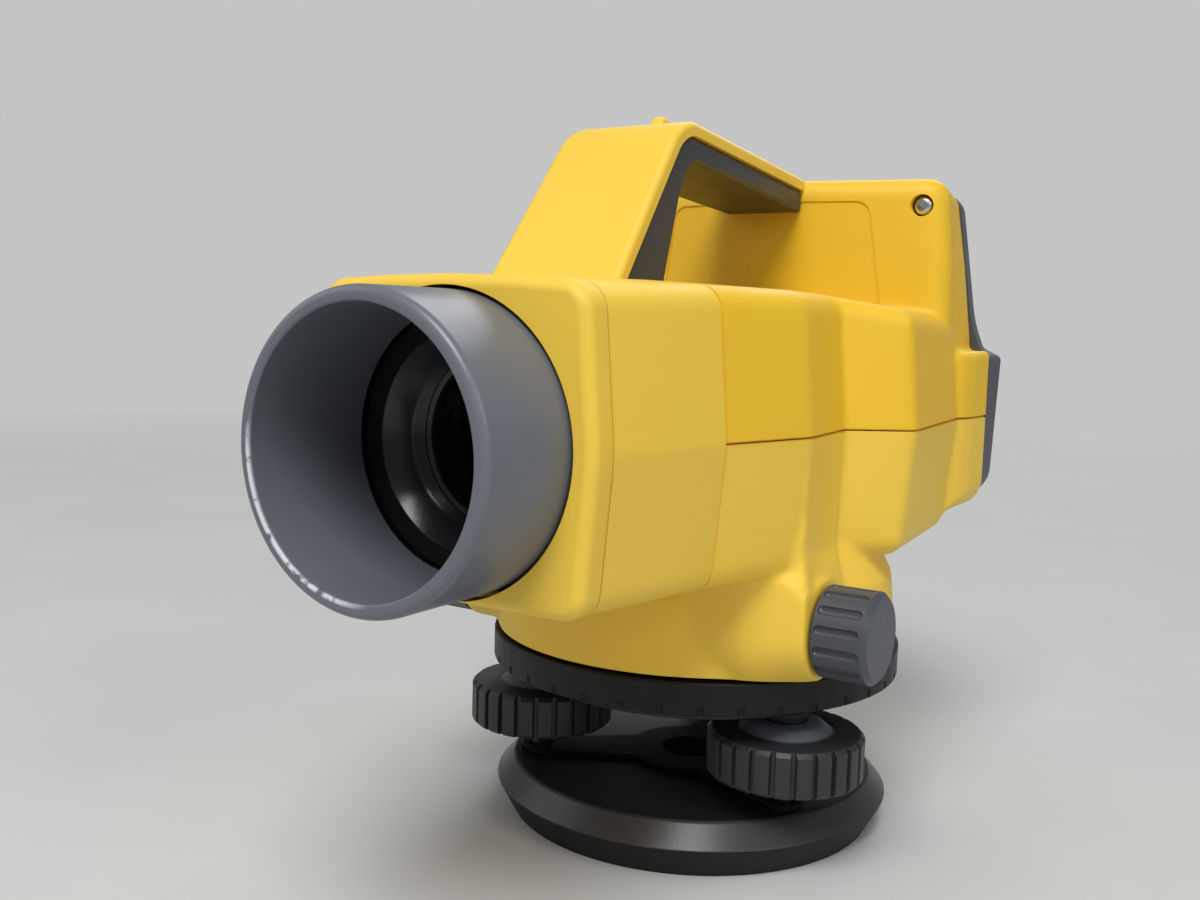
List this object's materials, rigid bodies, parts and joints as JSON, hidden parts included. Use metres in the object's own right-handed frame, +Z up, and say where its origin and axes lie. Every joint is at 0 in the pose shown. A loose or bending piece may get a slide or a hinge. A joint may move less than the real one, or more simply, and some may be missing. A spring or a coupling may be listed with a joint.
{
  "type": "digital level",
  "caption": "Surveying level with a hooded telescope, a carrying handle, a rear display and keys, a side focusing knob, twin fine-motion knobs and a three-screw foot.",
  "frame": {"origin": "on the vertical axis, in the plane of the underside of the base plate, where the tripod head meets it", "axes": "+Z up along the vertical axis; +Y from the objective to the eyepiece along the line of sight; +X to the operator's left"},
  "size_m": [0.1429, 0.257, 0.1824],
  "materials": {
    "yellow": "fine-grained moulded yellow",
    "slate": "dark blue-grey moulded plastic",
    "black_paint": "satin black paint",
    "black_key": "matt black",
    "rubber": "matt black rubber",
    "anodised": "black anodised",
    "steel": "turned steel",
    "alloy": "plain cast and turned alloy",
    "brass": "turned brass",
    "glass": "coated optical glass",
    "window": "clear display window",
    "mirror": "polished",
    "circuit": "green circuit board",
    "lcd": "liquid-crystal display"
  },
  "bodies": {
    "foot": {"base_plate": "black_paint", "spring_plate": "black_paint"},
    "head": {"levelling_head": "black_paint", "axis_bush": "brass"},
    "foot_screw_1": {"foot_spindle_1": "steel"},
    "foot_knob_1": {"foot_knob_1": "slate"},
    "foot_screw_2": {"foot_spindle_2": "steel", "foot_knob_2": "slate"},
    "foot_screw_3": {"foot_spindle_3": "steel", "foot_knob_3": "slate"},
    "circle": {"circle_ring": "black_paint"},
    "alidade": {"axis_spindle": "steel", "chassis": "alloy", "lower_housing": "yellow", "upper_cover": "yellow", "front_ring": "yellow", "front_bezel": "yellow", "lens_hood": "slate", "handle": "yellow", "handle_grip": "slate", "rear_panel": "slate", "display_window": "window", "lcd_module": "lcd", "objective_cell": "anodised", "objective_lens": "glass", "telescope_tube": "anodised", "compensator_frame": "anodised", "beam_splitter": "glass", "sensor_board": "circuit", "eyepiece_mount": "anodised", "main_board": "circuit", "battery": "slate", "level_base": "slate", "level_vial": "glass", "tower_screw_left": "steel", "tower_screw_right": "steel", "data_connector": "anodised"},
    "fine_drive": {"worm_shaft": "steel", "fine_knob_left": "slate", "fine_knob_right": "slate"},
    "worm_wheel": {"worm_wheel": "brass"},
    "focus_drive": {"focus_knob": "slate", "focus_shaft": "steel"},
    "focus_slide": {"focus_carriage": "alloy", "focus_lens": "glass"},
    "dioptre": {"dioptre_ring": "black_key", "eyecup": "rubber"},
    "eyepiece_slide": {"eyepiece_cell": "anodised"},
    "pendulum": {"compensator_pendulum": "glass"},
    "battery_door": {"battery_door": "yellow"},
    "level_mirror": {"level_mirror": "mirror"},
    "measure_key": {"measure_key": "slate"},
    "key_1": {"key_1": "black_key"},
    "key_2": {"key_2": "black_key"},
    "key_3": {"key_3": "black_key"},
    "key_4": {"key_4": "black_key"},
    "key_5": {"key_5": "black_key"},
    "key_6": {"key_6": "black_key"},
    "key_7": {"key_7": "black_key"},
    "key_8": {"key_8": "black_key"}
  },
  "joints": [
    {"name": "head_tilt", "type": "hinge", "parent": "foot", "child": "head", "pos_m": [0.00084, -0.02078, 0.0112], "axis": [0.9992, 0.0401, 0], "range_deg": [-1.39, 1.39]},
    {"name": "foot_screw_1_rise", "type": "slide", "parent": "head", "child": "foot_screw_1", "axis": [0, 0, 1], "range_m": [-0.0015, 0.0015]},
    {"name": "foot_knob_1_turn", "type": "hinge", "parent": "foot_screw_1", "child": "foot_knob_1", "pos_m": [-0.00167, 0.04157, 0.027], "axis": [0, 0, 1], "range_deg": [-541, 541]},
    {"name": "foot_screw_2_turn", "type": "hinge", "parent": "head", "child": "foot_screw_2", "pos_m": [-0.03516, -0.02223, 0.027], "axis": [0, 0, 1], "range_deg": [-540, 540]},
    {"name": "foot_screw_3_turn", "type": "hinge", "parent": "head", "child": "foot_screw_3", "pos_m": [0.03683, -0.01934, 0.027], "axis": [0, 0, 1], "range_deg": [-540, 540]},
    {"name": "circle_turn", "type": "hinge", "parent": "head", "child": "circle", "pos_m": [0, 0, 0.045], "axis": [0, 0, 1], "continuous": true},
    {"name": "azimuth", "type": "hinge", "parent": "head", "child": "alidade", "pos_m": [0, 0, 0.06], "axis": [0, 0, 1], "continuous": true},
    {"name": "fine_motion", "type": "hinge", "parent": "alidade", "child": "fine_drive", "pos_m": [0, -0.03, 0.0621], "axis": [1, 0, 0], "continuous": true},
    {"name": "worm_wheel_turn", "type": "hinge", "parent": "alidade", "child": "worm_wheel", "pos_m": [0, 0, 0.0621], "axis": [0, 0, 1], "continuous": true},
    {"name": "focus_turn", "type": "hinge", "parent": "alidade", "child": "focus_drive", "pos_m": [-0.06, 0.022, 0.1072], "axis": [1, 0, 0], "range_deg": [-150, 150]},
    {"name": "focus_travel", "type": "slide", "parent": "alidade", "child": "focus_slide", "axis": [0, 1, 0], "range_m": [-0.0126, 0.0126]},
    {"name": "dioptre_turn", "type": "hinge", "parent": "alidade", "child": "dioptre", "pos_m": [0, 0.098, 0.1072], "axis": [0, 1, 0], "range_deg": [-90, 90]},
    {"name": "eyepiece_travel", "type": "slide", "parent": "alidade", "child": "eyepiece_slide", "axis": [0, 1, 0], "range_m": [-0.0015, 0.0015]},
    {"name": "compensator_swing", "type": "hinge", "parent": "alidade", "child": "pendulum", "pos_m": [0, 0.0564, 0.1218], "axis": [1, 0, 0], "range_deg": [-0.25, 0.25]},
    {"name": "battery_door_swing", "type": "hinge", "parent": "alidade", "child": "battery_door", "pos_m": [-0.0563, 0.056, 0.082], "axis": [0, -1, 0], "range_deg": [0, 100]},
    {"name": "mirror_tilt", "type": "hinge", "parent": "alidade", "child": "level_mirror", "pos_m": [-0.031, 0.006, 0.1498], "axis": [0, 1, 0], "range_deg": [-60, 30]},
    {"name": "measure_key_press", "type": "slide", "parent": "alidade", "child": "measure_key", "axis": [1, 0, 0], "range_m": [0, 0.0015], "stiffness_N_per_m": 500, "springref_m": -0.002},
    {"name": "key_1_press", "type": "slide", "parent": "alidade", "child": "key_1", "axis": [0, -1, 0], "range_m": [0, 0.0012], "stiffness_N_per_m": 400, "springref_m": -0.002},
    {"name": "key_2_press", "type": "slide", "parent": "alidade", "child": "key_2", "axis": [0, -1, 0], "range_m": [0, 0.0012], "stiffness_N_per_m": 400, "springref_m": -0.002},
    {"name": "key_3_press", "type": "slide", "parent": "alidade", "child": "key_3", "axis": [0, -1, 0], "range_m": [0, 0.0012], "stiffness_N_per_m": 400, "springref_m": -0.002},
    {"name": "key_4_press", "type": "slide", "parent": "alidade", "child": "key_4", "axis": [0, -1, 0], "range_m": [0, 0.0012], "stiffness_N_per_m": 400, "springref_m": -0.002},
    {"name": "key_5_press", "type": "slide", "parent": "alidade", "child": "key_5", "axis": [0, -1, 0], "range_m": [0, 0.0012], "stiffness_N_per_m": 400, "springref_m": -0.002},
    {"name": "key_6_press", "type": "slide", "parent": "alidade", "child": "key_6", "axis": [0, -1, 0], "range_m": [0, 0.0012], "stiffness_N_per_m": 400, "springref_m": -0.002},
    {"name": "key_7_press", "type": "slide", "parent": "alidade", "child": "key_7", "axis": [0, -1, 0], "range_m": [0, 0.0012], "stiffness_N_per_m": 400, "springref_m": -0.002},
    {"name": "key_8_press", "type": "slide", "parent": "alidade", "child": "key_8", "axis": [0, -1, 0], "range_m": [0, 0.0012], "stiffness_N_per_m": 400, "springref_m": -0.002}
  ],
  "couplings": [
    {"joint": "foot_knob_1_turn", "follows": "foot_screw_1_rise", "rad_per_m": 6283.2},
    {"joint": "head_tilt", "follows": "foot_screw_1_rise", "rad_per_m": -16.026},
    {"joint": "worm_wheel_turn", "follows": "fine_motion", "ratio": -0.02},
    {"joint": "focus_travel", "follows": "focus_turn", "m_per_rad": -0.0048},
    {"joint": "eyepiece_travel", "follows": "dioptre_turn", "m_per_rad": 0.0009}
  ]
}
